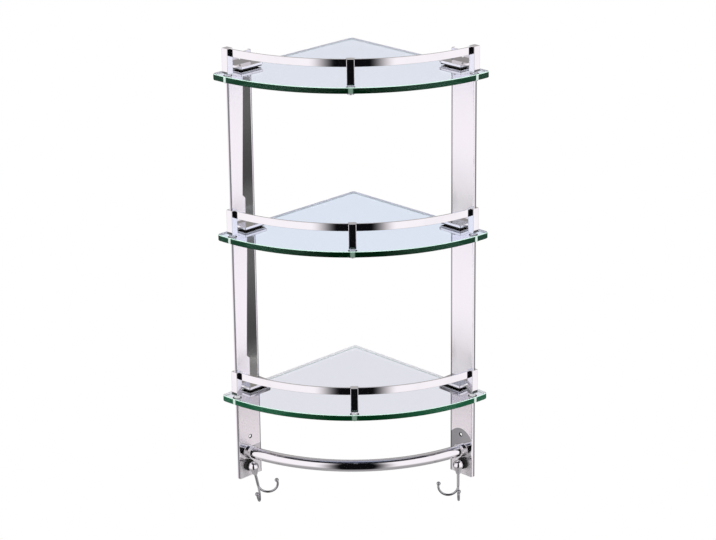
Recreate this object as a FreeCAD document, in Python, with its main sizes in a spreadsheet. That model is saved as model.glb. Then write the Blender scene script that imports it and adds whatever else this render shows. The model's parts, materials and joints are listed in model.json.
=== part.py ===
"""Three-tier corner shelf of polished steel and glass, with a towel bar and two turning hooks.

The origin is in the room's corner, level with the lower ends of the wall plates. The right wall is the
plane Y = 0 and runs along +X, the left wall is the plane X = 0 and runs along -Y, and Z points up.
Left and right are as seen by someone who faces the corner.
"""
import FreeCAD, Part
import os
import re
import Sketcher
from math import pi

# Driving dimensions, in millimetres and degrees
SIZES = {
    # wall plates, folded from sheet
    "plate_width": 40.0,
    "plate_depth": 6.0,
    "plate_wall": 1.5,
    "plate_bend": 0.8,
    "plate_length": 592.0,
    "plate_tip_inset": 52.5,
    "wall_hole": 4.5,
    "wall_hole_low": 57.5,
    "wall_hole_drop": 7.5,
    # tiers
    "lower_shelf_height": 135.0,
    "upper_shelf_drop": 17.0,
    "middle_shelf_raise": 5.0,
    # quarter-round glass
    "glass_leg": 250.0,
    "glass_thickness": 8.0,
    "glass_tip_round": 6.0,
    "glass_corner_round": 4.0,
    "glass_bevel": 0.6,
    "glass_hole": 8.0,
    "edge_gap": 0.5,
    # guard rail and its posts
    "post_size": 10.0,
    "post_height": 33.0,
    "post_round": 0.6,
    "post_front_inset": 14.0,
    "post_side_inset": 15.0,
    "rail_height": 10.0,
    "rail_thickness": 2.5,
    "rail_round": 0.4,
    "rail_drop": 1.0,
    "rail_setback": 5.5,
    "rail_entry": 7.0,
    "rail_clearance": 0.15,
    # post screws, bushes and gaskets
    "post_screw": 5.0,
    "post_screw_reach": 12.0,
    "post_bore_spare": 1.5,
    "post_screw_head": 9.0,
    "post_screw_head_height": 3.0,
    "drive_slot_width": 1.2,
    "drive_slot_depth": 1.2,
    "thread_clearance": 0.05,
    "bush_flange": 12.0,
    "bush_flange_height": 1.2,
    "bush_clearance": 0.1,
    "gasket_thickness": 0.5,
    # glass clips
    "clip_width": 38.0,
    "clip_depth": 23.0,
    "clip_web": 3.0,
    "clip_tab": 3.0,
    "clip_corner": 1.5,
    "clip_edge": 0.5,
    "upper_pad": 2.0,
    "lower_pad": 2.0,
    "pad_inset": 1.5,
    "clamp_screw": 5.0,
    "clamp_screw_off": 14.0,
    "clamp_head": 9.0,
    "clamp_head_height": 3.0,
    "clamp_gap": 0.8,
    "clip_screw": 4.0,
    "clip_screw_spacing": 22.0,
    # screw heads that hide in the hollow of the plates
    "hidden_head": 8.0,
    "hidden_head_height": 2.4,
    "hole_clearance": 0.2,
    # towel bar
    "bar_diameter": 16.0,
    "bar_wall": 1.2,
    "bar_radius": 230.0,
    "bar_shift": 3.0,
    "bar_height": 33.0,
    "plug_length": 14.0,
    "plug_clearance": 0.05,
    "bar_screw": 5.0,
    "bar_screw_reach": 11.0,
    "bar_collar": 18.5,
    "bar_collar_thickness": 3.5,
    "bar_collar_clearance": 0.1,
    "bar_collar_round": 0.8,
    # turning hooks
    "hook_shift": 4.5,
    "hook_height": 17.0,
    "left_hook_lean": 14.0,
    "stud_diameter": 4.0,
    "stud_neck": 2.6,
    "stud_end": 2.0,
    "stud_fit": 0.05,
    "collar_diameter": 16.0,
    "collar_thickness": 3.0,
    "collar_round": 0.8,
    "running_gap": 0.3,
    "ball_diameter": 14.0,
    "ball_seat": 6.3,
    "ball_neck": 5.4,
    "ball_neck_start": 4.5,
    "ball_neck_end": 13.0,
    "stem_diameter": 3.6,
    "stem_length": 31.0,
    "prong_wire": 3.0,
    "prong_bend": 13.5,
    "prong_sweep": 195.0,
    "prong_splay": 45.0,
    "tip_bead": 5.5,
}

SIDES = ("left", "right")
SAME = 1e-4

# Places worked out from the sizes, as expressions
HALF_PLATE = "plate_width / 2"
PLATE_SEAT = "(plate_depth - plate_wall)"
GLASS_EDGE = "(plate_depth + clip_web + edge_gap)"
PLATE_ALONG = f"({GLASS_EDGE} + glass_leg - plate_tip_inset)"
BAR_ALONG = f"({PLATE_ALONG} - bar_shift)"
HOOK_ALONG = f"({PLATE_ALONG} + hook_shift)"
POST_RADIUS = "(glass_leg - post_front_inset)"
POST_FAR = f"sqrt({POST_RADIUS} ^ 2 - post_side_inset ^ 2)"
POST_DIAGONAL = f"({POST_RADIUS} / sqrt(2))"
POST_ANGLE = f"asin(post_side_inset / {POST_RADIUS})"
RAIL_OUTER = f"({POST_RADIUS} + post_size / 2 - rail_setback)"
RAIL_INNER = f"({RAIL_OUTER} - rail_thickness)"
RAIL_TOP = "(post_height - rail_drop)"
RAIL_LOW = f"({RAIL_TOP} - rail_height)"
CLIP_TOP = "(upper_pad + clip_tab)"
JAW_TOP = "-(glass_thickness + lower_pad)"
CLIP_BOTTOM = f"({JAW_TOP} - clip_tab)"
CLIP_SCREW_HEIGHT = f"(({CLIP_TOP} + {CLIP_BOTTOM}) / 2)"
BUSH_BOTTOM = "-(glass_thickness + bush_flange_height)"
HALF_CHORD_SQUARED = f"({BAR_ALONG} - plate_depth) ^ 2 / 2"
BAR_CENTRE = f"((plate_depth + {BAR_ALONG}) / 2 - sqrt((bar_radius ^ 2 - {HALF_CHORD_SQUARED}) / 2))"
ROOM_SIDE = f"({BAR_ALONG} + bar_diameter)"
BALL_OFF = "(plate_depth + collar_thickness + running_gap + ball_seat)"
GROOVE_HALF = "(stem_diameter / 2 + running_gap)"
STUD_TIP = f"({BALL_OFF} + {GROOVE_HALF} + stud_end)"
STEM_TOP = "(stud_neck / 2 + running_gap)"

# Height of each tier's glass, to its upper face
TIERS = {
    "lower": "lower_shelf_height",
    "middle": "((lower_shelf_height + plate_length - upper_shelf_drop) / 2 + middle_shelf_raise)",
    "upper": "(plate_length - upper_shelf_drop)",
}

# Half the section of a head that hides in a plate's hollow, as (radius, distance from the wall)
HIDDEN_HEAD = [
    ("0", f"{PLATE_SEAT} - hidden_head_height"),
    ("hidden_head / 2", f"{PLATE_SEAT} - hidden_head_height"),
    ("hidden_head / 2", PLATE_SEAT),
]

# Post centres in plan, measured from the glass's corner, and the angle of each post's radius
POSTS = {
    "left": ("post_side_inset", f"-{POST_FAR}", f"180 deg + {POST_ANGLE}"),
    "right": (POST_FAR, "-post_side_inset", f"270 deg - {POST_ANGLE}"),
    "centre": (POST_DIAGONAL, f"-{POST_DIAGONAL}", "225 deg"),
}

doc = FreeCAD.newDocument("CornerGlassShelf")
sheet = doc.addObject("Spreadsheet::Sheet", "Sizes")
for row, (alias, value) in enumerate(SIZES.items(), 1):
    sheet.set(f"A{row}", alias)
    sheet.set(f"B{row}", str(value))
    sheet.setAlias(f"B{row}", alias)
doc.recompute()
pieces = []


# Expressions

def cells(text):
    """Point each size named in an expression at its cell in the sheet."""
    return re.sub(r"[a-z_]+", lambda word: f"Sizes.{word[0]}" if word[0] in SIZES else word[0], text)


def bind(target, **properties):
    """Bind properties to expressions; a double underscore in a name stands for a dot."""
    for name, text in properties.items():
        target.setExpression(name.replace("__", "."), cells(text))


def number(text):
    """The present value of an expression."""
    value = sheet.evalExpression(cells(text))
    return float(getattr(value, "Value", value))


# Placing

def place(target, x, y, z, yaw=0.0, roll=0.0):
    target.Placement = FreeCAD.Placement(FreeCAD.Vector(), FreeCAD.Rotation(yaw, 0.0, roll))
    bind(target, Placement__Base__x=x, Placement__Base__y=y, Placement__Base__z=z)


def on_wall(target, side, along, off, height, roll=0.0, lean=None):
    """Stand a piece on one wall: along it from the corner, off it into the room, and up.

    A piece drawn for a wall has its width along X and the room on its -Y side.
    """
    if side == "right":
        place(target, along, f"-({off})", height, 0.0, roll)
    else:
        place(target, off, f"-({along})", height, 90.0, roll)
    if lean:
        bind(target, Placement__Rotation__Pitch=lean)


def on_glass(target, tier, x="0", y="0", yaw=0.0):
    """Place a piece by the corner of a tier's glass, with Z = 0 on the glass's upper face."""
    place(target, f"{GLASS_EDGE} + {x}", f"-{GLASS_EDGE} + {y}", TIERS[tier], yaw)


# Sketches and features

def new_body(label):
    body = doc.addObject("PartDesign::Body", label)
    body.Label = label
    return body


def sketch_on(body, role, lift="0"):
    """A sketch on one of the body's own origin planes, moved along the plane's normal by lift."""
    sketch = body.newObject("Sketcher::SketchObject", f"{body.Name}_sketch")
    plane = next(feature for feature in body.Origin.OriginFeatures if feature.Role == role)
    sketch.AttachmentSupport = (plane, [""])
    sketch.MapMode = "FlatFace"
    bind(sketch, AttachmentOffset__Base__z=lift)
    return sketch


def hold(sketch, kind, geometry, point, text):
    """Hold one coordinate of a point from the sketch's origin at an expression."""
    index = sketch.addConstraint(Sketcher.Constraint(kind, -1, 1, geometry, point, number(text)))
    bind(sketch, **{f"Constraints[{index}]": text})


def polygon(sketch, corners):
    """A closed outline of straight lines through corners given as pairs of expressions."""
    starts = [FreeCAD.Vector(number(x), number(y), 0) for x, y in corners]
    ends = starts[1:] + starts[:1]
    lines = [sketch.addGeometry(Part.LineSegment(*pair), False) for pair in zip(starts, ends)]
    for line, following in zip(lines, lines[1:] + lines[:1]):
        sketch.addConstraint(Sketcher.Constraint("Coincident", line, 2, following, 1))
    for line, (x, y) in zip(lines, corners):
        hold(sketch, "DistanceX", line, 1, x)
        hold(sketch, "DistanceY", line, 1, y)


def rectangle(sketch, left, low, right, high):
    polygon(sketch, [(left, low), (right, low), (right, high), (left, high)])


def circle(sketch, x, y, diameter):
    centre = FreeCAD.Vector(number(x), number(y), 0)
    ring = sketch.addGeometry(Part.Circle(centre, FreeCAD.Vector(0, 0, 1), number(diameter) / 2), False)
    hold(sketch, "DistanceX", ring, 3, x)
    hold(sketch, "DistanceY", ring, 3, y)
    index = sketch.addConstraint(Sketcher.Constraint("Diameter", ring, number(diameter)))
    bind(sketch, **{f"Constraints[{index}]": diameter})


def quarter_round(sketch, leg):
    """A quarter disc with its corner at the origin and its legs along +X and -Y."""
    size, middle = number(leg), FreeCAD.Vector()
    arc = Part.ArcOfCircle(Part.Circle(middle, FreeCAD.Vector(0, 0, 1), size), -pi / 2, 0)
    right = sketch.addGeometry(Part.LineSegment(middle, FreeCAD.Vector(size, 0, 0)), False)
    front = sketch.addGeometry(arc, False)
    left = sketch.addGeometry(Part.LineSegment(FreeCAD.Vector(0, -size, 0), middle), False)
    for first, first_end, second, second_end in (
        (right, 1, -1, 1), (left, 2, -1, 1), (front, 3, -1, 1), (right, 2, front, 2), (left, 1, front, 1),
    ):
        sketch.addConstraint(Sketcher.Constraint("Coincident", first, first_end, second, second_end))
    sketch.addConstraint(Sketcher.Constraint("Horizontal", right))
    sketch.addConstraint(Sketcher.Constraint("Vertical", left))
    index = sketch.addConstraint(Sketcher.Constraint("Radius", front, size))
    bind(sketch, **{f"Constraints[{index}]": leg})


def pad(body, sketch, length, side="One side", backwards=False):
    feature = body.newObject("PartDesign::Pad", f"{body.Name}_pad")
    feature.Profile = sketch
    feature.SideType = side
    feature.Reversed = backwards
    bind(feature, Length=length)


def pocket(body, sketch, length=None, side="One side", backwards=False):
    """Cut a sketch into the body, right through where no length is given, and see that it cuts."""
    doc.recompute()
    before = body.Shape.Volume
    feature = body.newObject("PartDesign::Pocket", f"{body.Name}_pocket")
    feature.Profile = sketch
    feature.SideType = side
    feature.Reversed = backwards
    if length is None:
        feature.Type = "ThroughAll"
    else:
        bind(feature, Length=length)
    doc.recompute()
    if not body.Shape.Volume < before:
        raise RuntimeError(f"{feature.Name} cuts nothing")


def revolve(body, sketch, angle="360 deg"):
    """Turn a sketch about the upright axis, to both sides alike."""
    feature = body.newObject("PartDesign::Revolution", f"{body.Name}_revolution")
    feature.Profile = sketch
    feature.ReferenceAxis = (sketch, ["V_Axis"])
    feature.Midplane = True
    bind(feature, Angle=angle)


def soften(body, kind, size, chosen):
    """Round or bevel the edges of the body that the test picks."""
    doc.recompute()
    base = body.Tip
    names = [f"Edge{i}" for i, edge in enumerate(base.Shape.Edges, 1) if chosen(edge)]
    feature = body.newObject(f"PartDesign::{kind}", f"{body.Name}_{kind.lower()}")
    feature.Base = (base, names)
    bind(feature, **{"Radius" if kind == "Fillet" else "Size": size})


def near(first, second):
    return abs(first - second) < SAME


def upright(edge):
    box = edge.BoundBox
    return near(box.XLength, 0) and near(box.YLength, 0)


def level_at(edge, *heights):
    box = edge.BoundBox
    return any(near(box.ZMin, height) and near(box.ZMax, height) for height in heights)


def turned(label, corners):
    """A piece turned about Z from half of its section, given as (radius, height) corners."""
    body = new_body(label)
    section = sketch_on(body, "XZ_Plane")
    polygon(section, corners)
    revolve(body, section)
    return body


def slotted_screw(label, diameter, head, head_height, seat, tip):
    """A screw that points up from a slotted head below its seat."""
    shank, rim, low = f"{diameter} / 2", f"{head} / 2", f"{seat} - {head_height}"
    screw = turned(label, [("0", low), (rim, low), (rim, seat), (shank, seat), (shank, tip), ("0", tip)])
    slot = sketch_on(screw, "XY_Plane", low)
    rectangle(slot, f"-{rim}", "-drive_slot_width / 2", rim, "drive_slot_width / 2")
    pocket(screw, slot, "drive_slot_depth", backwards=True)
    return screw


def hidden_screw(label, diameter, tip):
    """A screw whose head hides in the plate's hollow, drawn from the wall along Z."""
    shank = f"{diameter} / 2"
    return turned(label, HIDDEN_HEAD + [(shank, PLATE_SEAT), (shank, tip), ("0", tip)])


def primitive(kind, label, x="0", y="0", z="0", yaw=0.0, roll=0.0, **sizes):
    shape = doc.addObject(f"Part::{kind}", label)
    bind(shape, **sizes)
    place(shape, x, y, z, yaw, roll)
    return shape


def combine(kind, label, base, tool):
    result = doc.addObject(f"Part::{kind}", label)
    result.Base = base
    result.Tool = tool
    result.Label = label
    return result


def join(label, shapes):
    result = doc.addObject("Part::MultiFuse", label)
    result.Shapes = shapes
    result.Label = label
    return result


def copy_of(model):
    link = doc.addObject("App::Link", f"{model.Name}_copy")
    link.LinkedObject = model
    return link


def group(label, members):
    """Separate solids of one kind under one name."""
    result = doc.addObject("Part::Compound", label)
    result.Links = members
    result.Label = label
    pieces.append(result)


# Wall plates

def make_plate(side):
    """A shallow channel with its hollow to the wall, drilled for all that is screwed to it."""
    plate = new_body(f"{side}_wall_plate")
    inner = f"({HALF_PLATE} - plate_wall)"
    channel = sketch_on(plate, "XY_Plane")
    polygon(channel, [
        (f"-{HALF_PLATE}", "0"), (f"-{HALF_PLATE}", "-plate_depth"),
        (HALF_PLATE, "-plate_depth"), (HALF_PLATE, "0"),
        (inner, "0"), (inner, f"-{PLATE_SEAT}"), (f"-{inner}", f"-{PLATE_SEAT}"), (f"-{inner}", "0"),
    ])
    pad(plate, channel, "plate_length")
    for depth, radius in (("plate_depth", "plate_bend + plate_wall"), (PLATE_SEAT, "plate_bend")):
        at = -number(depth)
        soften(plate, "Fillet", radius, lambda edge: upright(edge) and near(edge.BoundBox.YMin, at))
    mirror = "" if side == "right" else "-"
    holes = sketch_on(plate, "XZ_Plane")
    circle(holes, "0", "wall_hole_low", "wall_hole")
    circle(holes, "0", "plate_length - wall_hole_drop", "wall_hole")
    for tier in TIERS:
        for way in ("", "-"):
            height = f"{TIERS[tier]} + {CLIP_SCREW_HEIGHT}"
            circle(holes, f"{way}clip_screw_spacing / 2", height, "clip_screw + 2 * hole_clearance")
    for shift, height, diameter in (
        ("-bar_shift", "bar_height", "bar_screw"), ("hook_shift", "hook_height", "stud_diameter"),
    ):
        circle(holes, f"{mirror}({shift})", height, f"{diameter} + 2 * hole_clearance")
    pocket(plate, holes, side="Symmetric")
    on_wall(plate, side, PLATE_ALONG, "0", "0")
    pieces.append(plate)


# Glass shelves

def make_glass(tier):
    """A quarter-round pane with rounded tips, bevelled edges and a hole for each post."""
    glass = new_body(f"{tier}_glass_shelf")
    outline = sketch_on(glass, "XY_Plane")
    quarter_round(outline, "glass_leg")
    pad(glass, outline, "glass_thickness", backwards=True)
    halfway, under = number("glass_leg / 2"), -number("glass_thickness")
    soften(
        glass, "Fillet", "glass_corner_round",
        lambda edge: upright(edge) and edge.CenterOfMass.Length < halfway,
    )
    soften(
        glass, "Fillet", "glass_tip_round",
        lambda edge: upright(edge) and edge.CenterOfMass.Length > halfway,
    )
    soften(glass, "Chamfer", "glass_bevel", lambda edge: level_at(edge, 0, under))
    holes = sketch_on(glass, "XY_Plane")
    for x, y, _ in POSTS.values():
        circle(holes, x, y, "glass_hole")
    pocket(glass, holes)
    on_glass(glass, tier)
    pieces.append(glass)


# Guard rails and posts

def make_rail(tier):
    """A flat strip bent on the glass's centre, with its ends inside the end posts."""
    rail = new_body(f"{tier}_guard_rail")
    strip = sketch_on(rail, "XZ_Plane")
    low, top = f"gasket_thickness + {RAIL_LOW}", f"gasket_thickness + {RAIL_TOP}"
    rectangle(strip, RAIL_INNER, low, RAIL_OUTER, top)
    end_angle = f"asin((post_size / 2 - rail_entry) / {RAIL_OUTER})"
    revolve(rail, strip, f"90 deg - 2 * ({POST_ANGLE} + {end_angle})")
    soften(rail, "Fillet", "rail_round", lambda edge: hasattr(edge.Curve, "Radius"))
    on_glass(rail, tier, yaw=-45.0)
    pieces.append(rail)


def make_post(tier, name):
    """A square post, slotted for the rail and tapped from below; its +Y side faces the room."""
    post = new_body(f"{tier}_{name}_post")
    half = "post_size / 2"
    foot = sketch_on(post, "XY_Plane")
    rectangle(foot, f"-{half}", f"-{half}", half, half)
    pad(post, foot, "post_height")
    top = number("post_height")
    soften(post, "Fillet", "post_round", lambda edge: upright(edge) or level_at(edge, top))
    reach = f"({half} - rail_entry - rail_clearance)"
    lift = {"left": f"-{reach}", "right": reach, "centre": "0"}[name]
    slot = sketch_on(post, "YZ_Plane", lift)
    front = f"{half} - rail_setback + rail_clearance"
    back = f"{half} - rail_setback - rail_thickness - rail_clearance"
    rectangle(slot, back, f"{RAIL_LOW} - rail_clearance", front, f"{RAIL_TOP} + rail_clearance")
    pocket(post, slot, side="Symmetric" if name == "centre" else "One side", backwards=name == "right")
    bore = sketch_on(post, "XY_Plane")
    circle(bore, "0", "0", "post_screw + 2 * thread_clearance")
    pocket(post, bore, "post_screw_reach + post_bore_spare", backwards=True)
    x, y, angle = POSTS[name]
    on_glass(post, tier, x, y)
    bind(post, Placement__Base__z=f"{TIERS[tier]} + gasket_thickness")
    bind(post, Placement__Rotation__Angle=angle)
    pieces.append(post)


def on_posts(tier, model):
    """A copy of a piece at each post of a tier."""
    copies = []
    for x, y, _ in POSTS.values():
        copies.append(copy_of(model))
        on_glass(copies[-1], tier, x, y)
    return copies


def make_post_fixings():
    """The screw, flanged bush and gasket of a post, drawn from the glass's upper face."""
    screw = slotted_screw(
        "post_screw_model", "post_screw", "post_screw_head", "post_screw_head_height",
        BUSH_BOTTOM, "gasket_thickness + post_screw_reach",
    )
    bore = "post_screw / 2 + bush_clearance"
    flange, sleeve = "bush_flange / 2", "glass_hole / 2 - bush_clearance"
    bush = turned("post_bush_model", [
        (bore, BUSH_BOTTOM), (flange, BUSH_BOTTOM), (flange, "-glass_thickness"),
        (sleeve, "-glass_thickness"), (sleeve, "-bush_clearance"), (bore, "-bush_clearance"),
    ])
    rim, top = "post_size / 2", "gasket_thickness"
    gasket = turned("post_gasket_model", [(bore, "0"), (rim, "0"), (rim, top), (bore, top)])
    for tier in TIERS:
        group(f"{tier}_post_screws", on_posts(tier, screw))
        group(f"{tier}_post_bushes", on_posts(tier, bush))
        group(f"{tier}_post_gaskets", on_posts(tier, gasket))


# Glass clips

def make_clip(tier, side):
    """A U that grips the glass's straight edge, drawn from the plate's face and the glass's top."""
    clip = new_body(f"{tier}_{side}_clip")
    section = sketch_on(clip, "YZ_Plane")
    polygon(section, [
        ("0", CLIP_BOTTOM), ("-clip_depth", CLIP_BOTTOM),
        ("-clip_depth", JAW_TOP), ("-clip_web", JAW_TOP),
        ("-clip_web", "upper_pad"), ("-clip_depth", "upper_pad"),
        ("-clip_depth", CLIP_TOP), ("0", CLIP_TOP),
    ])
    pad(clip, section, "clip_width", side="Symmetric")
    front = -number("clip_depth")
    soften(clip, "Fillet", "clip_corner", lambda edge: upright(edge) and near(edge.BoundBox.YMin, front))
    faces = (number(CLIP_TOP), number(CLIP_BOTTOM))
    soften(
        clip, "Fillet", "clip_edge",
        lambda edge: level_at(edge, *faces) and not near(edge.BoundBox.YMin, 0),
    )
    threads = sketch_on(clip, "XZ_Plane")
    tapping = "clip_screw + 2 * thread_clearance"
    for way in ("", "-"):
        circle(threads, f"{way}clip_screw_spacing / 2", CLIP_SCREW_HEIGHT, tapping)
    pocket(clip, threads, "clip_web", backwards=True)
    clamp = sketch_on(clip, "XY_Plane", CLIP_BOTTOM)
    circle(clamp, "0", "-clamp_screw_off", "clamp_screw + 2 * thread_clearance")
    pocket(clip, clamp, "clip_tab", backwards=True)
    on_wall(clip, side, PLATE_ALONG, "plate_depth", TIERS[tier])
    pieces.append(clip)


def pad_block(label, low, high):
    """A rubber block between the glass and one jaw of a clip."""
    block = new_body(label)
    section = sketch_on(block, "YZ_Plane")
    rectangle(section, "-(clip_depth - pad_inset)", low, "-clip_web", high)
    pad(block, section, "clip_width - 2 * pad_inset", side="Symmetric")
    return block


def make_clip_fixings():
    """Rubber pads, clamp screws from below, and screws from inside the plates."""
    blocks = [
        pad_block("upper_pad_model", "0", "upper_pad"),
        pad_block("lower_pad_model", JAW_TOP, "-glass_thickness"),
    ]
    clamp = slotted_screw(
        "clamp_screw_model", "clamp_screw", "clamp_head", "clamp_head_height",
        f"{CLIP_BOTTOM} - clamp_gap", JAW_TOP,
    )
    for tier in TIERS:
        pads, clamps = [], []
        for side in SIDES:
            for block in blocks:
                pads.append(copy_of(block))
                on_wall(pads[-1], side, PLATE_ALONG, "plate_depth", TIERS[tier])
            clamps.append(copy_of(clamp))
            on_wall(clamps[-1], side, PLATE_ALONG, "plate_depth + clamp_screw_off", TIERS[tier])
        group(f"{tier}_clip_pads", pads)
        group(f"{tier}_clamp_screws", clamps)
    screw = hidden_screw("clip_screw_model", "clip_screw", "plate_depth + clip_web")
    for side in SIDES:
        screws = []
        for tier in TIERS:
            for way in ("+", "-"):
                screws.append(copy_of(screw))
                along = f"{PLATE_ALONG} {way} clip_screw_spacing / 2"
                height = f"{TIERS[tier]} + {CLIP_SCREW_HEIGHT}"
                on_wall(screws[-1], side, along, "0", height, roll=90.0)
        group(f"{side}_clip_screws", screws)


# Towel bar

def ring(label, diameter):
    """A whole ring on the bar's bend, of which the room between the plates keeps one stretch."""
    return primitive(
        "Torus", label, BAR_CENTRE, f"-{BAR_CENTRE}", "bar_height",
        Radius1="bar_radius", Radius2=f"({diameter}) / 2",
    )


def room_block(label, length, width):
    """A block of the room at the bar's height, in the corner between the faces of the plates."""
    return primitive(
        "Box", label, "plate_depth", f"-(plate_depth + {width})", "bar_height - bar_diameter",
        Length=length, Width=width, Height="2 * bar_diameter",
    )


def make_towel_bar():
    """A bent tube cut flush at both plates, with a tapped plug in each end for a screw from the plate."""
    bore = "bar_diameter - 2 * bar_wall"
    room = room_block("bar_room", ROOM_SIDE, ROOM_SIDE)
    tube = combine("Cut", "bar_tube", ring("bar_outside", "bar_diameter"), ring("bar_inside", bore))
    pieces.append(combine("Common", "towel_bar", tube, room))
    ends = {
        "left": room_block("left_plug_room", "plug_length", ROOM_SIDE),
        "right": room_block("right_plug_room", ROOM_SIDE, "plug_length"),
    }
    screw = hidden_screw("bar_screw_model", "bar_screw", "plate_depth + bar_screw_reach")
    plugs, screws = [], []
    for side in SIDES:
        rod = ring(f"{side}_plug_ring", f"{bore} - 2 * plug_clearance")
        core = combine("Common", f"{side}_plug_core", rod, ends[side])
        thread = primitive(
            "Cylinder", f"{side}_plug_thread",
            Radius="bar_screw / 2 + thread_clearance", Height="plug_length",
        )
        on_wall(thread, side, BAR_ALONG, "plate_depth", "bar_height", roll=90.0)
        plugs.append(combine("Cut", f"{side}_plug", core, thread))
        screws.append(copy_of(screw))
        on_wall(screws[-1], side, BAR_ALONG, "0", "bar_height", roll=90.0)
    group("towel_bar_plugs", plugs)
    group("towel_bar_screws", screws)


def make_bar_collar(side):
    """A ring against the plate, bored along the bar's bend, that covers the cut end of the tube."""
    round_stock = turned(f"{side}_collar_stock", [
        ("0", "plate_depth"), ("bar_collar / 2", "plate_depth"),
        ("bar_collar / 2", "plate_depth + bar_collar_thickness"), ("0", "plate_depth + bar_collar_thickness"),
    ])
    face = number("plate_depth + bar_collar_thickness")
    soften(round_stock, "Fillet", "bar_collar_round", lambda edge: level_at(edge, face))
    on_wall(round_stock, side, BAR_ALONG, "0", "bar_height", roll=90.0)
    bore = ring(f"{side}_collar_bore", "bar_diameter + 2 * bar_collar_clearance")
    pieces.append(combine("Cut", f"{side}_bar_collar", round_stock, bore))


# Turning hooks

def make_hook(side):
    """A ball that turns on a grooved stud, held there by the stem of its two prongs."""
    lean = "-left_hook_lean" if side == "left" else None
    shank, neck = "stud_diameter / 2", "stud_neck / 2"
    groove_start, groove_end = f"{BALL_OFF} - {GROOVE_HALF}", f"{BALL_OFF} + {GROOVE_HALF}"
    stud = turned(f"{side}_hook_stud", HIDDEN_HEAD + [
        (shank, PLATE_SEAT), (shank, groove_start), (neck, groove_start),
        (neck, groove_end), (shank, groove_end), (shank, STUD_TIP), ("0", STUD_TIP),
    ])
    on_wall(stud, side, HOOK_ALONG, "0", "hook_height", roll=90.0)

    bore, rim = f"{shank} + thread_clearance", "collar_diameter / 2"
    collar = turned(f"{side}_hook_collar", [
        (bore, "plate_depth"), (rim, "plate_depth"),
        (rim, "plate_depth + collar_thickness"), (bore, "plate_depth + collar_thickness"),
    ])
    face, radius = number("plate_depth + collar_thickness"), number(rim)
    soften(
        collar, "Fillet", "collar_round",
        lambda edge: level_at(edge, face) and near(edge.Curve.Radius, radius),
    )
    on_wall(collar, side, HOOK_ALONG, "0", "hook_height", roll=90.0)

    round_ball = primitive("Sphere", f"{side}_ball_round", Radius="ball_diameter / 2")
    taper = primitive(
        "Cone", f"{side}_ball_taper", z="-ball_neck_end", Height="ball_neck_end - ball_neck_start",
        Radius1="ball_neck / 2", Radius2="sqrt((ball_diameter / 2) ^ 2 - ball_neck_start ^ 2)",
    )
    behind = primitive(
        "Box", f"{side}_ball_behind", "-ball_diameter / 2", "ball_seat", "-ball_diameter / 2",
        Length="ball_diameter", Width="ball_diameter", Height="ball_diameter",
    )
    stud_bore = primitive(
        "Cylinder", f"{side}_ball_bore", y="ball_diameter / 2", roll=90.0,
        Radius=f"{shank} + stud_fit", Height=f"ball_diameter / 2 + {GROOVE_HALF} + stud_end + running_gap",
    )
    stem_bore = primitive(
        "Cylinder", f"{side}_ball_stem_bore", z="-ball_neck_end",
        Radius="stem_diameter / 2 + thread_clearance", Height="ball_neck_end",
    )
    hollow = join(f"{side}_ball_hollow", [behind, stud_bore, stem_bore])
    ball = combine("Cut", f"{side}_hook_ball", join(f"{side}_ball_solid", [round_ball, taper]), hollow)
    on_wall(ball, side, HOOK_ALONG, BALL_OFF, "hook_height", lean=lean)

    stem = primitive(
        "Cylinder", f"{side}_stem", z="-stem_length",
        Radius="stem_diameter / 2", Height=f"stem_length - {STEM_TOP}",
    )
    wires = [stem, primitive("Sphere", f"{side}_stem_end", z="-stem_length", Radius="stem_diameter / 2")]
    for order, sign in (("first", "-"), ("second", "+")):
        name = f"{side}_{order}_prong"
        across, ahead = f"{sign}sin(prong_splay)", "-cos(prong_splay)"
        bend = primitive(
            "Torus", f"{name}_bend", f"{across} * prong_bend", f"{ahead} * prong_bend", "-stem_length",
            yaw=90.0, roll=-90.0, Radius1="prong_bend", Radius2="prong_wire / 2", Angle3="prong_sweep",
        )
        bind(bend, Placement__Rotation__Yaw=f"90 {sign} prong_splay")
        span = "prong_bend * (1 - cos(prong_sweep))"
        bead = primitive(
            "Sphere", f"{name}_bead", f"{across} * {span}", f"{ahead} * {span}",
            "-stem_length - prong_bend * sin(prong_sweep)", Radius="tip_bead / 2",
        )
        wires += [bend, bead]
    prongs = join(f"{side}_hook_prongs", wires)
    on_wall(prongs, side, HOOK_ALONG, BALL_OFF, "hook_height", lean=lean)
    pieces.extend([stud, collar, ball, prongs])


# The whole shelf

for side in SIDES:
    make_plate(side)
for tier in TIERS:
    make_glass(tier)
    make_rail(tier)
    for name in POSTS:
        make_post(tier, name)
    for side in SIDES:
        make_clip(tier, side)
make_post_fixings()
make_clip_fixings()
make_towel_bar()
for side in SIDES:
    make_bar_collar(side)
    make_hook(side)
doc.recompute()

for item in doc.Objects:
    if {"Invalid", "Error"} & set(item.State):
        raise RuntimeError(f"{item.Label} failed: {item.State}")
for piece in pieces:
    if piece.Shape.isNull() or not piece.Shape.isValid():
        raise RuntimeError(f"{piece.Label} has no valid shape")

os.makedirs("parts", exist_ok=True)
for piece in pieces:
    piece.Shape.exportStep(f"parts/{piece.Label}.step")
print(len(pieces), "nodes,", sum(len(piece.Shape.Solids) for piece in pieces), "solids")
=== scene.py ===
"""Finishes, studio and camera for the corner glass shelf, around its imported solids."""
import json
from math import cos, radians, sin

import bpy
from mathutils import Matrix, Vector


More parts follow.
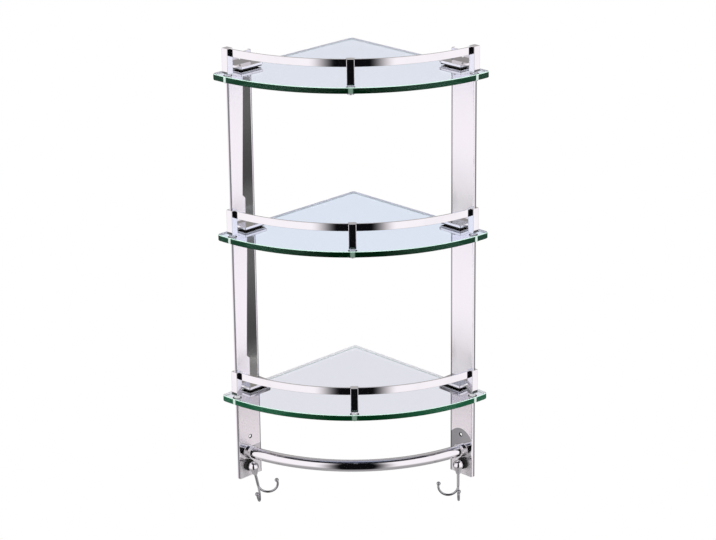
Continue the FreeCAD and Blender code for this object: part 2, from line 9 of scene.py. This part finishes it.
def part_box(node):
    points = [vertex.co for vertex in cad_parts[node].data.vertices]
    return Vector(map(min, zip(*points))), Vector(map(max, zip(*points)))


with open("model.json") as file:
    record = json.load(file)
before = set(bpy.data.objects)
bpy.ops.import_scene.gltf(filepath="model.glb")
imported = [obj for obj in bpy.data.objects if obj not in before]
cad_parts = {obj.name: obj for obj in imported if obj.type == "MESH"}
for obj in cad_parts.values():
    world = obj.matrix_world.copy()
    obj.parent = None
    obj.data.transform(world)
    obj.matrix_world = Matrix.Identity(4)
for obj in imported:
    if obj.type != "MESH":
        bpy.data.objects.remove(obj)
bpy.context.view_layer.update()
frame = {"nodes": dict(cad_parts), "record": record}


class Signal:
    """One output of a node tree; Python's arithmetic on it adds Math nodes."""

    def __init__(self, tree, socket=None):
        self.tree = tree
        self.socket = socket

    def node(self, kind, settings=None, sockets=None, output=0):
        """Any node of this tree: its settings come first, then the values or links of its sockets."""
        made = self.tree.nodes.new(f"ShaderNode{kind}")
        for name, value in (settings or {}).items():
            setattr(made, name, value)
        for name, value in (sockets or {}).items():
            if isinstance(value, Signal):
                self.tree.links.new(value.socket, made.inputs[name])
            else:
                made.inputs[name].default_value = value
        return Signal(self.tree, made.outputs[output] if made.outputs else None)

    def maths(self, operation, *values):
        return self.node("Math", {"operation": operation}, dict(enumerate(values)))

    def vector(self, operation, sockets, output=0):
        return self.node("VectorMath", {"operation": operation}, sockets, output)

    def __add__(self, other):
        return self.maths("ADD", self, other)

    __radd__ = __add__

    def __sub__(self, other):
        return self.maths("SUBTRACT", self, other)

    def __rsub__(self, other):
        return self.maths("SUBTRACT", other, self)

    def __mul__(self, other):
        return self.maths("MULTIPLY", self, other)

    __rmul__ = __mul__

    def __truediv__(self, other):
        return self.maths("DIVIDE", self, other)

    def __rtruediv__(self, other):
        return self.maths("DIVIDE", other, self)

    def __abs__(self):
        return self.maths("ABSOLUTE", self)

    def root(self):
        return self.maths("SQRT", self)

    def least(self, other):
        return self.maths("MINIMUM", self, other)

    def most(self, other):
        return self.maths("MAXIMUM", self, other)

    def ease(self, low, high):
        """0 below low, 1 above high, a smooth rise between; a fall instead where low is the higher."""
        smooth = {"interpolation_type": "SMOOTHSTEP"}
        return self.node("MapRange", smooth, {0: self, 1: low, 2: high})

    def above(self, level, fade):
        return self.ease(level - fade, level + fade)

    def below(self, level, fade):
        return self.ease(level + fade, level - fade)

    def mix(self, first, second):
        """From the first colour, where this signal is 0, to the second, where it is 1."""
        return self.node("Mix", {"data_type": "RGBA"}, {0: self, 6: first, 7: second}, output=2)

    def axes(self):
        return [self.node("SeparateXYZ", sockets={0: self}, output=axis) for axis in range(3)]


def rgb(red, green, blue):
    return (red, green, blue, 1.0)


def dimmed(colour, share):
    return rgb(*(share * part for part in colour))


# Sizes, in metres

GLASS_BOXES = [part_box(f"{tier}_glass_shelf") for tier in ("lower", "middle", "upper")]
GLASS_UNDERSIDES = [low.z for low, high in GLASS_BOXES]
GLASS_FACES = [high.z for low, high in GLASS_BOXES]
GLASS_CORNER = Vector((GLASS_BOXES[0][0].x, GLASS_BOXES[0][1].y))
GLASS_LEG = 0.25
PLATE_LOW, PLATE_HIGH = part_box("right_wall_plate")
PLATE_MIDDLE = (PLATE_LOW.x + PLATE_HIGH.x) / 2
WALL_SCREWS = next(mount for mount in frame["record"]["mounts"] if mount["name"] == "right_wall_screws")
SCREW_HOLE_RADIUS = WALL_SCREWS["dims"]["hole_r_mm"] / 1000
SCREW_HOLE_HEIGHT = WALL_SCREWS["pos_m"][2] - WALL_SCREWS["dims"]["spacing_y_mm"] / 2000


# What all finishes use

UPWARD = (0.0, 0.0, 1.0)
BLACK = rgb(0.0, 0.0, 0.0)
WHITE = rgb(1.0, 1.0, 1.0)


def dress(owner, output, build):
    """Give a material or a world the shader that the function build makes."""
    owner.use_nodes = True
    owner.node_tree.nodes.clear()
    start = Signal(owner.node_tree)
    start.node(output, sockets={"Surface": build(start)})


def finish(name, build):
    material = bpy.data.materials.new(name)
    dress(material, "OutputMaterial", build)
    return material


def place_on_piece(start, stretch=(1.0, 1.0, 1.0)):
    """Where a point lies on its piece, in metres, stretched along the axes."""
    return start.vector("MULTIPLY", {0: start.node("TexCoord", output="Object"), 1: stretch})


def facing(start, way):
    """How squarely the surface faces that way: 1 straight on, 0 edge on, -1 turned away."""
    normal = start.node("NewGeometry", output="True Normal")
    return start.vector("DOT_PRODUCT", {0: normal, 1: way}, output="Value")


def noise(start, place, scale, detail=2.0):
    return start.node("TexNoise", sockets={"Vector": place, "Scale": scale, "Detail": detail})


def bump(start, height, depth, strength=1.0):
    return start.node("Bump", sockets={"Height": height, "Distance": depth, "Strength": strength})


# Polished steel

STEEL = (0.90, 0.89, 0.90)
WIRE_STEEL = (0.48, 0.48, 0.49)
SMEARED = 0.95
UPRIGHT_LINES = (25.0, 25.0, 1.0)
LEVEL_LINES = (1.0, 1.0, 25.0)
FINE_LINES = (4.0, 4.0, 4.0)


def polishing_lines(start, stretch):
    return noise(start, place_on_piece(start, stretch), 60.0, 3.0).ease(0.5, 0.8)


def smears(start):
    return noise(start, place_on_piece(start), 22.0, 3.0).ease(0.45, 0.75)


def polished_steel(colour, stretch, ripple, top=1.0):
    """Mirror-polished metal: fine lines, faint smears and a slow ripple; top darkens its upper faces, a
    painted dark reflection.
    """
    def build(start):
        worn = smears(start)
        waves = noise(start, place_on_piece(start), 14.0, 1.0)
        shine = worn.mix(rgb(*colour), dimmed(colour, SMEARED))
        # Painted dark reflection on the upper faces, as deep as top says.
        on_top = facing(start, UPWARD).ease(0.90, 0.98)
        return start.node("BsdfPrincipled", sockets={
            "Base Color": on_top.mix(shine, dimmed(colour, top)),
            "Metallic": 1.0,
            "Roughness": 0.025 + 0.05 * polishing_lines(start, stretch) + 0.03 * worn,
            "Normal": bump(start, waves, ripple),
        })
    return build


# Wall plates
# Heights are from the origin; distances across a plate are from its middle, away from the corner.

OUTWARD = {"left": (1.0, 0.0, 0.0), "right": (0.0, -1.0, 0.0)}
INWARD = {"left": (0.0, 1.0, 0.0), "right": (-1.0, 0.0, 0.0)}
BAYS = [(low + 0.006, high - 0.014) for low, high in zip(GLASS_FACES, GLASS_FACES[1:])]
CROWN_LINE = GLASS_FACES[-1] + 0.009
SKIRT_LINE = GLASS_FACES[0] - 0.011
SKIRT_FADE = 0.005
TOE_LINE = 0.026
TOE_FADE = 0.003
LINE_FADE = 0.001
STRIP_INNER_EDGE = -0.0166
STRIP_INNER_FADE = 0.0006
STRIP_OUTER_EDGE = -0.004
STRIP_OUTER_FADE = 0.0005
STRIP_SPREAD = 0.010
STRIP_FLARE = 0.028
STRIP_STEP = 0.032
STRIP_STEP_FADE = 0.003
BENDS = {"left": -0.0174, "right": -0.0165}
BEND_FADES = {"left": 0.0004, "right": 0.0005}
LEFT_BEND_RIM = -0.01965
LEFT_BEND_RIM_FADE = 0.00025
SIDE_LINES = {"left": (0.0020, 0.0050), "right": (-0.0010, 0.0028)}
SIDE_LINE_FADE = 0.0003
FOOT_LEAN = {"left": 0.19, "right": 0.20}

OPEN_PALE = rgb(0.895, 0.870, 0.910)
SKIRT_PALE = rgb(0.81, 0.775, 0.79)
# Painted shade: the right plate darkens near the foot of each bay, just above the shelf.
LOW_PAINTED_SHADE = rgb(0.76, 0.76, 0.77)
# Painted reflection: the left plate's dark strip, darkest in the lower middle of each bay.
STRIP_REFLECTION_PALE = rgb(0.89, 0.89, 0.83)
STRIP_REFLECTION_DEEP = rgb(0.50, 0.50, 0.47)
# Painted dark reflection along the bends, darker near the foot of the right plate's bays as painted
# shade.
BEND_REFLECTION_GREY = rgb(0.36, 0.35, 0.37)
LOW_BEND_REFLECTION_GREY = rgb(0.20, 0.20, 0.20)
# Painted shade along each plate's outer side, at the wall.
SIDE_SHADE_GREY = rgb(0.22, 0.22, 0.23)
# Painted shade in and around the lower screw hole.
HOLE_SHADE_BLACK = rgb(0.01, 0.01, 0.01)


def foot_line(side, across):
    """Upper edge of the grey field at a plate's foot: bent on the left plate, arched on the right."""
    if side == "left":
        height, slope = 0.044, 0.6
        return height + slope * across.most(0.0)
    height, curve = 0.067, 28.0
    return height - curve * across * across


class PlateSheet:
    """The fields of a wall plate's sheet, each 1 inside and 0 outside."""

    def __init__(self, start, side):
        x, y, up = place_on_piece(start).axes()
        along, from_wall = (0.0 - y, x) if side == "left" else (x, 0.0 - y)
        self.up = up
        self.across = along - PLATE_MIDDLE
        self.outward = facing(start, OUTWARD[side])
        self.sideways = 0.0 - facing(start, INWARD[side])
        self.face = self.outward.ease(0.4, 0.6)
        self.bay = self.in_bays(lambda low, high: 1.0)
        self.open_sheet = self.bay + self.face * up.above(CROWN_LINE, LINE_FADE)
        self.foot = self.face * (foot_line(side, self.across) - up).above(0.0, LINE_FADE)
        self.skirt = self.face * up.below(SKIRT_LINE, SKIRT_FADE) - self.foot
        self.toe = self.face * up.below(TOE_LINE, TOE_FADE)
        self.by_shelf = self.face - self.open_sheet - self.foot - self.skirt
        self.bend = self.across.below(BENDS[side], BEND_FADES[side]) * up.below(CROWN_LINE, LINE_FADE)
        if side == "left":
            self.bend = self.bend * self.across.above(LEFT_BEND_RIM, LEFT_BEND_RIM_FADE)
        low, high = SIDE_LINES[side]
        side_line = from_wall.above(low, SIDE_LINE_FADE) * from_wall.below(high, SIDE_LINE_FADE)
        self.side_line = side_line * self.sideways.ease(0.4, 0.6) * up.below(CROWN_LINE, LINE_FADE)
        above_hole = up - SCREW_HOLE_HEIGHT
        to_hole = (self.across * self.across + above_hole * above_hole).root()
        self.hole = to_hole.below(1.35 * SCREW_HOLE_RADIUS, 0.15 * SCREW_HOLE_RADIUS)

    def in_bays(self, shape):
        """A field between the shelves; shape gives it from the lower and upper end of each bay."""
        fields = []
        for low, high in BAYS:
            above_low = self.up.above(low + LINE_FADE, LINE_FADE)
            below_high = self.up.below(high - LINE_FADE, LINE_FADE)
            fields.append(self.face * above_low * below_high * shape(low, high))
        return fields[0].most(fields[1])

    def low_in_bays(self):
        """1 near the foot of each bay, fading out upwards."""
        return self.in_bays(lambda low, high: self.up.ease(low + 0.11, low + 0.02))

    def deep_in_bays(self):
        """1 in the lower middle of each bay, fading out towards both its ends."""
        def middle(low, high):
            return self.up.ease(high - 0.03, high - 0.13) * self.up.ease(low + 0.03, low + 0.06)

        return self.in_bays(middle)

    def strip(self):
        """The painted dark reflection beside the inner edge: a strip which spreads down each bay as far
        as a step.
        """
        def spread(low, high):
            step = self.up.above(low + STRIP_STEP, STRIP_STEP_FADE)
            return (high - self.up) * (STRIP_SPREAD + STRIP_FLARE * step)

        within = (STRIP_OUTER_EDGE + self.in_bays(spread) - self.across).above(0.0, STRIP_OUTER_FADE)
        return self.bay * within * self.across.above(STRIP_INNER_EDGE, STRIP_INNER_FADE)


def leaning(start, inward, lean, rise):
    """The surface's normal, leant towards the corner and upwards by shares that vary over the sheet."""
    leant = start.node("NewGeometry", output="Normal")
    for way, share in ((inward, lean), (UPWARD, rise)):
        push = start.vector("SCALE", {0: way, "Scale": share})
        leant = start.vector("ADD", {0: leant, 1: push})
    return start.vector("NORMALIZE", {0: leant})


def wall_plate(side):
    """Rolled sheet, not quite flat: satin between the shelves, bright near them, with painted dark
    reflections along its bends and painted shade along its outer sides and at a screw hole.
    """
    def build(start):
        sheet = PlateSheet(start, side)
        worn = smears(start)
        waves = noise(start, place_on_piece(start, (1.0, 1.0, 0.3)), 30.0, 1.0)
        lean = (
            0.36 * sheet.by_shelf
            + FOOT_LEAN[side] * sheet.foot
            - 0.08 * sheet.toe
            - 0.16 * sheet.open_sheet
            + 0.02 * (waves - 0.5)
            + sheet.sideways.most(0.0) * sheet.outward.ease(0.1, 0.3)
        )
        satin = 0.16 * sheet.open_sheet + 0.2 * sheet.skirt + 0.4 * sheet.toe
        steel = worn.mix(rgb(*STEEL), dimmed(STEEL, SMEARED))
        tone = sheet.open_sheet.mix(sheet.skirt.mix(steel, SKIRT_PALE), OPEN_PALE)
        bend_reflection_tone = BEND_REFLECTION_GREY
        if side == "left":
            # Left plate: a painted dark reflection strip, where the normals are leant too.
            strip = sheet.strip()
            lean = lean + 0.46 * strip
            satin = satin - 0.08 * strip
            tone = strip.mix(tone, sheet.deep_in_bays().mix(STRIP_REFLECTION_PALE, STRIP_REFLECTION_DEEP))
        else:
            # Right plate: painted shade near the foot of each bay, on the sheet and on its bend line.
            low = sheet.low_in_bays()
            tone = low.mix(tone, LOW_PAINTED_SHADE)
            bend_reflection_tone = low.mix(BEND_REFLECTION_GREY, LOW_BEND_REFLECTION_GREY)
        # Painted dark reflection along the bends.
        tone = sheet.bend.mix(tone, bend_reflection_tone)
        # Painted shade along the outer side, at the wall.
        tone = sheet.side_line.mix(tone, SIDE_SHADE_GREY)
        return start.node("BsdfPrincipled", sockets={
            # Painted shade in and around the lower screw hole.
            "Base Color": sheet.hole.mix(tone, HOLE_SHADE_BLACK),
            "Metallic": 1.0,
            "Roughness": 0.05 + satin + 0.04 * polishing_lines(start, UPRIGHT_LINES) + 0.02 * worn,
            "Normal": leaning(start, INWARD[side], lean, 0.2 * sheet.bay),
        })
    return build


# Glass

# Painted reflection: each tier's pane has its own tint, greyer on the lowest, bluer higher up.
LOWER_PANE = rgb(0.79, 0.80, 0.87)
MIDDLE_PANE = rgb(0.79, 0.862, 0.99)
UPPER_PANE = rgb(0.845, 0.896, 1.0)
DARK_GREEN = rgb(0.001, 0.024, 0.010)
LIGHT_GREEN = rgb(0.003, 0.046, 0.020)
# Painted dark reflection in the middle of the front edge.
MIDDLE_REFLECTION_GREEN = rgb(0.0005, 0.010, 0.003)
CLEAR_GREEN = rgb(0.35, 0.75, 0.55)
# Painted highlight on the arris.
ARRIS_HIGHLIGHT_GREEN = rgb(0.62, 0.90, 0.76)
# Painted light: the back edges glow a little, and are paler on the lowest shelf.
LOWER_BACK = rgb(0.78, 0.82, 0.82)
UPPER_BACK = rgb(0.60, 0.60, 0.65)
LOWER_PAINTED_GLOW = rgb(0.44, 0.42, 0.41)
UPPER_PAINTED_GLOW = rgb(0.24, 0.23, 0.24)
# Painted light on the lower shelf's front edge.
LOWER_EDGE_PAINTED_LIGHT = 1.4
GLASS_INDEX = 1.5
PANE_INDEX = 1.2
# Painted glints on the front edge, one at each post.
SIDE_PAINTED_GLINT = rgb(0.62, 0.74, 0.68)
CENTRE_PAINTED_GLINT = rgb(0.14, 0.22, 0.17)
PAINTED_GLINTS = {
    "left": (0.0024, SIDE_PAINTED_GLINT, Vector((0.0075, 0.0))),
    "right": (0.0024, SIDE_PAINTED_GLINT, Vector((0.0, -0.0075))),
    "centre": (0.0036, CENTRE_PAINTED_GLINT, Vector((0.0, 0.0))),
}


def glint_place(name, shift):
    """Where a painted glint lies, standing for a post's bush seen through the front edge of the glass.
    """
    low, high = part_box(f"lower_{name}_post")
    middle = ((low + high) / 2).to_2d()
    return GLASS_CORNER + GLASS_LEG * (middle + shift - GLASS_CORNER).normalized()


def away_from(spot, x, y):
    return ((x - spot.x) * (x - spot.x) + (y - spot.y) * (y - spot.y)).root()


def glass_edge(start, x, y, above_lower):
    """A polished edge: deep green along the front, with a painted dark reflection in its middle, painted
    light on the lower shelf and a painted glint at each post; pale along the back, with a painted glow.
    """
    green = noise(start, place_on_piece(start), 30.0).mix(DARK_GREEN, LIGHT_GREEN)
    # Painted dark reflection: the front edge darkens towards its middle.
    deep = abs(x + y).ease(0.19, 0.03).mix(green, MIDDLE_REFLECTION_GREEN)
    # Painted light: the lower shelf's front edge is brightened.
    lit = start.vector("SCALE", {0: deep, "Scale": 1.0 + LOWER_EDGE_PAINTED_LIGHT * (1.0 - above_lower)})
    front = away_from(GLASS_CORNER, x, y).above(GLASS_LEG - 0.0045, 0.0015)
    colour = front.mix(above_lower.mix(LOWER_BACK, UPPER_BACK), lit)
    # Painted glints where the posts' bushes would show through the front edge.
    for name, (width, glint, shift) in PAINTED_GLINTS.items():
        near = away_from(glint_place(name, shift), x, y).below(0.8 * width, 0.2 * width)
        colour = near.mix(colour, glint)
    depth = start.node("BsdfPrincipled", sockets={
        "Base Color": colour,
        # Painted glow along the back edges.
        "Emission Color": front.mix(above_lower.mix(LOWER_PAINTED_GLOW, UPPER_PAINTED_GLOW), BLACK),
        "Emission Strength": 1.0,
        "Roughness": 0.06,
        "IOR": GLASS_INDEX,
        "Specular IOR Level": 0.06,
    })
    clear = start.node("BsdfPrincipled", sockets={
        "Base Color": CLEAR_GREEN,
        "Roughness": 0.02,
        "IOR": GLASS_INDEX,
        "Transmission Weight": 1.0,
    })
    return start.node("MixShader", sockets={0: 0.05, 1: depth, 2: clear})


def clear_glass(start):
    """Float glass: a pale cool pane, tinted per tier as a painted reflection, with deep green edges and
    a painted highlight on the arris round its face.
    """
    x, y, up = place_on_piece(start).axes()
    above_lower = up.ease(GLASS_FACES[0], GLASS_UNDERSIDES[1])
    above_middle = up.ease(GLASS_FACES[1], GLASS_UNDERSIDES[2])
    pane = start.node("BsdfPrincipled", sockets={
        "Base Color": above_middle.mix(above_lower.mix(LOWER_PANE, MIDDLE_PANE), UPPER_PANE),
        "Roughness": 0.0,
        "IOR": PANE_INDEX,
        "Transmission Weight": 1.0,
    })
    # Painted highlight: a pale mint arris on the chamfers.
    arris = start.node("BsdfPrincipled", sockets={
        "Base Color": ARRIS_HIGHLIGHT_GREEN,
        "Roughness": 0.1,
        "IOR": GLASS_INDEX,
    })
    edge = glass_edge(start, x, y, above_lower)
    upward = facing(start, UPWARD)
    rim = start.node("MixShader", sockets={0: upward.ease(0.4, 0.6), 1: edge, 2: arris})
    return start.node("MixShader", sockets={0: abs(upward).ease(0.98, 0.92), 1: pane, 2: rim})


# Rubber, plastic and screws

# Painted light: pale for the pads beneath each pane.
PALE_PAINTED_UNDER_GLASS = rgb(0.62, 0.62, 0.65)
PADS_BENEATH = (0.0065, 0.0195)
PAD_FADE = 0.0005


def black_rubber(dark, dusty):
    """Matt rubber with a little dust; a pad beneath a pane hardly shows through it, so painted light
    makes it pale.
    """
    def build(start):
        up = place_on_piece(start).axes()[2]
        grain = noise(start, place_on_piece(start), 900.0, 4.0)
        dust = noise(start, place_on_piece(start), 60.0, 3.0).ease(0.45, 0.8)
        colour = dust.mix(rgb(dark, dark, dark), rgb(dusty, dusty, dusty))
        nearest, farthest = PADS_BENEATH
        # Painted light: the pads beneath each pane are painted pale.
        for face in GLASS_FACES:
            beneath = up.below(face - nearest, PAD_FADE) * up.above(face - farthest, PAD_FADE)
            colour = beneath.mix(colour, PALE_PAINTED_UNDER_GLASS)
        return start.node("BsdfPrincipled", sockets={
            "Base Color": colour,
            "Roughness": 0.55 + 0.25 * grain,
            "Normal": bump(start, grain, 0.0002, 0.4),
        })
    return build


def pale_plastic(light, dark):
    """Moulded nylon and soft gaskets: a little uneven in tone and gloss."""
    def build(start):
        mottle = noise(start, place_on_piece(start), 160.0, 3.0)
        return start.node("BsdfPrincipled", sockets={
            "Base Color": mottle.mix(light, dark),
            "Roughness": 0.35 + 0.2 * mottle,
            "Normal": bump(start, mottle, 0.0001, 0.3),
        })
    return build


def screw_steel(start):
    """Bright turned screws and studs, with tool marks."""
    marks = noise(start, place_on_piece(start, (1.0, 1.0, 12.0)), 220.0, 3.0)
    return start.node("BsdfPrincipled", sockets={
        "Base Color": marks.mix(rgb(0.70, 0.70, 0.71), rgb(0.52, 0.52, 0.53)),
        "Metallic": 1.0,
        "Roughness": 0.18 + 0.2 * marks,
        "Normal": bump(start, marks, 0.00005, 0.4),
    })


# Which piece gets which finish, by the end of its name

LONG_RIPPLE = 0.0001
SHORT_RIPPLE = 0.00005
fittings = finish("polished_fittings", polished_steel(STEEL, FINE_LINES, SHORT_RIPPLE))
screws = finish("bright_screws", screw_steel)

FINISHES = {
    "left_wall_plate": finish("left_plate_sheet", wall_plate("left")),
    "right_wall_plate": finish("right_plate_sheet", wall_plate("right")),
    "_guard_rail": finish("polished_strip", polished_steel(STEEL, LEVEL_LINES, LONG_RIPPLE)),
    "towel_bar": finish("polished_tube", polished_steel(STEEL, LEVEL_LINES, LONG_RIPPLE)),
    # The clips' upper faces are darkened to 0.6, a painted dark reflection.
    "_clip": finish("clip_steel", polished_steel(STEEL, FINE_LINES, SHORT_RIPPLE, top=0.6)),
    "_prongs": finish("hook_wire", polished_steel(WIRE_STEEL, FINE_LINES, SHORT_RIPPLE)),
    "_post": fittings,
    "_bar_collar": fittings,
    "_ball": fittings,
    "_glass_shelf": finish("green_edged_glass", clear_glass),
    "_hook_collar": finish("black_rubber", black_rubber(0.012, 0.03)),
    "_clip_pads": finish("dusty_rubber", black_rubber(0.05, 0.11)),
    "_post_gaskets": finish("pale_gasket", pale_plastic(rgb(0.66, 0.69, 0.70), rgb(0.58, 0.61, 0.62))),
    "_post_bushes": finish("white_nylon", pale_plastic(rgb(0.80, 0.82, 0.80), rgb(0.70, 0.72, 0.71))),
    "_screws": screws,
    "_plugs": screws,
    "_stud": screws,
}


def finish_of(node):
    return next(material for ending, material in FINISHES.items() if node.endswith(ending))


for name, piece in frame["nodes"].items():
    for slot in piece.material_slots:
        slot.link = "OBJECT"
        slot.material = finish_of(name)


# Studio

CAMERA_AZIMUTH = radians(45.4955)
TOWARDS_CAMERA = (sin(CAMERA_AZIMUTH), -cos(CAMERA_AZIMUTH))
TO_THE_RIGHT = (cos(CAMERA_AZIMUTH), sin(CAMERA_AZIMUTH))
MIDDLE = Vector((0.1, -0.1, 0.3))
FLOOR_HEIGHT = -1.0
PANEL_WHITE = rgb(1.04, 1.00, 1.04)
LOW_BACK = rgb(0.11, 0.11, 0.12)
HIGH_BACK = rgb(0.48, 0.46, 0.46)
GROUND_GREY = rgb(0.38, 0.37, 0.38)
GAP_BLACK = rgb(0.004, 0.004, 0.005)
ROOM_LIGHT = rgb(0.85, 0.85, 0.86)
SOFTBOXES = {
    "left_softbox": ((0.0, -2.2, 1.0), (1.2, 1.8), 12.0),
    "right_softbox": ((2.2, 0.0, 1.0), (1.2, 1.8), 12.0),
    "top_softbox": ((0.5, -0.5, 2.4), (1.5, 1.5), 10.0),
}


def studio_tone(direction):
    """What polished metal sees that way: white panels, a dark gap and ceiling, a dim back below."""
    x, y, z = direction.axes()
    ahead = x * TOWARDS_CAMERA[0] + y * TOWARDS_CAMERA[1]
    aside = abs(x * TO_THE_RIGHT[0] + y * TO_THE_RIGHT[1])
    gap = (aside / ahead.most(0.01)).ease(0.54, 0.19) * ahead.ease(0.0, 0.1) * z.ease(-1.0, -0.8)
    ceiling = z.ease(0.79, 0.86) * (0.15 + 0.85 * ahead.ease(-0.25, 0.0))
    behind = z.ease(0.08, 0.20).mix(LOW_BACK, HIGH_BACK)
    panels = ahead.ease(-0.15, -0.40).mix(PANEL_WHITE, behind)
    ground = z.ease(-0.35, -0.90).mix(panels, GROUND_GREY)
    return gap.most(ceiling).mix(ground, GAP_BLACK)


def mirrored(start):
    """1 for what is seen in polished metal or in the face of the glass."""
    return start.node("LightPath", output="Glossy Depth").least(1.0)


def seen_white(start):
    """1 for what the camera sees straight on or through glass, and 0 for what polished metal mirrors."""
    camera = start.node("LightPath", output="Is Camera Ray")
    through = start.node("LightPath", output="Is Transmission Ray")
    return camera.most(through - mirrored(start))


def studio_light(start):
    around = studio_tone(start.node("TexCoord", output="Generated"))
    plain = mirrored(start).mix(ROOM_LIGHT, around)
    return start.node("Background", sockets={"Color": seen_white(start).mix(plain, WHITE)})


def pale_floor(start):
    place = start.node("NewGeometry", output="Position")
    direction = start.vector("NORMALIZE", {0: start.vector("SUBTRACT", {0: place, 1: MIDDLE})})
    mottle = noise(start, place, 3.0).mix(rgb(0.86, 0.86, 0.86), rgb(0.90, 0.90, 0.90))
    matt = start.node("BsdfDiffuse", sockets={"Color": mottle})
    mirror_image = seen_white(start).mix(studio_tone(direction), WHITE)
    glow = start.node("Emission", sockets={"Color": mirror_image})
    seen = seen_white(start).most(mirrored(start))
    return start.node("MixShader", sockets={0: seen, 1: matt, 2: glow})


def make_world():
    world = bpy.data.worlds.new("studio")
    bpy.context.scene.world = world
    dress(world, "OutputWorld", studio_light)


def make_floor():
    under = (MIDDLE.x, MIDDLE.y, FLOOR_HEIGHT)
    bpy.ops.mesh.primitive_circle_add(vertices=96, radius=2.0, fill_type="NGON", location=under)
    floor = bpy.context.object
    floor.name = "floor"
    floor.data.materials.append(finish("pale_floor", pale_floor))


def make_softbox(name, place, size, power):
    light = bpy.data.lights.new(name, "AREA")
    light.shape = "RECTANGLE"
    light.size, light.size_y = size
    light.energy = power
    lamp = bpy.data.objects.new(name, light)
    bpy.context.scene.collection.objects.link(lamp)
    lamp.location = place
    lamp.rotation_euler = (MIDDLE - Vector(place)).to_track_quat("-Z", "Y").to_euler()
    lamp.visible_glossy = False
    lamp.visible_camera = False
    lamp.visible_transmission = False


make_world()
make_floor()
for name, (place, size, power) in SOFTBOXES.items():
    make_softbox(name, place, size, power)


# Camera

IMAGE_WIDTH = 716
FOCAL_PIXELS = 2442.0
CAMERA_DISTANCE = 3.1733
CAMERA_HEIGHT = 1.3879
CAMERA_OFFSET = 0.0035
HEADING, PITCH, ROLL = radians(45.4089), radians(19.8521), radians(-0.6382)


def make_camera():
    data = bpy.data.cameras.new("camera")
    data.sensor_fit = "HORIZONTAL"
    data.lens = FOCAL_PIXELS / IMAGE_WIDTH * data.sensor_width
    camera = bpy.data.objects.new("camera", data)
    bpy.context.scene.collection.objects.link(camera)
    forward = Vector((-sin(HEADING) * cos(PITCH), cos(HEADING) * cos(PITCH), -sin(PITCH)))
    level = Vector((cos(HEADING), sin(HEADING), 0.0))
    above = level.cross(forward)
    right = cos(ROLL) * level + sin(ROLL) * above
    up = cos(ROLL) * above - sin(ROLL) * level
    turn = Matrix((right, up, -forward)).transposed().to_4x4()
    place = Vector((
        CAMERA_DISTANCE * TOWARDS_CAMERA[0] + CAMERA_OFFSET,
        CAMERA_DISTANCE * TOWARDS_CAMERA[1] - CAMERA_OFFSET,
        CAMERA_HEIGHT,
    ))
    camera.matrix_world = Matrix.Translation(place) @ turn
    bpy.context.scene.camera = camera


make_camera()
bpy.context.scene.view_settings.view_transform = "Standard"
